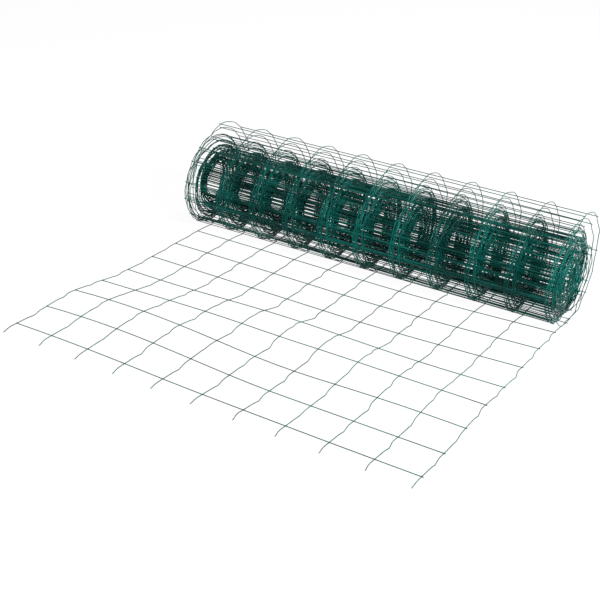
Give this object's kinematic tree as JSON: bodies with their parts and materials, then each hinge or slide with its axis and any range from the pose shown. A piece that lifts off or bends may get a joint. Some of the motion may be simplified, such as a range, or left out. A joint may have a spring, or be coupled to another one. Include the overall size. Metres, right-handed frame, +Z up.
{
  "type": "roll of welded wire mesh fencing",
  "caption": "Roll of green coated welded wire mesh, lying on its side, with its outer turns loose and its free end unrolled flat on the floor.",
  "frame": {"origin": "on the floor, in the middle of the whole thing as it lies, unrolled stretch and all", "axes": "+X along the roll's axis, -Y towards the free end of the mesh, +Z up"},
  "size_m": [1.0368, 0.9928, 0.2836],
  "materials": {
    "green_coating": "dark green plastic coating on steel wire, satin"
  },
  "bodies": {
    "root": {"wound_coil": "green_coating", "loose_turns": "green_coating", "unrolled_sheet": "green_coating"}
  },
  "joints": []
}
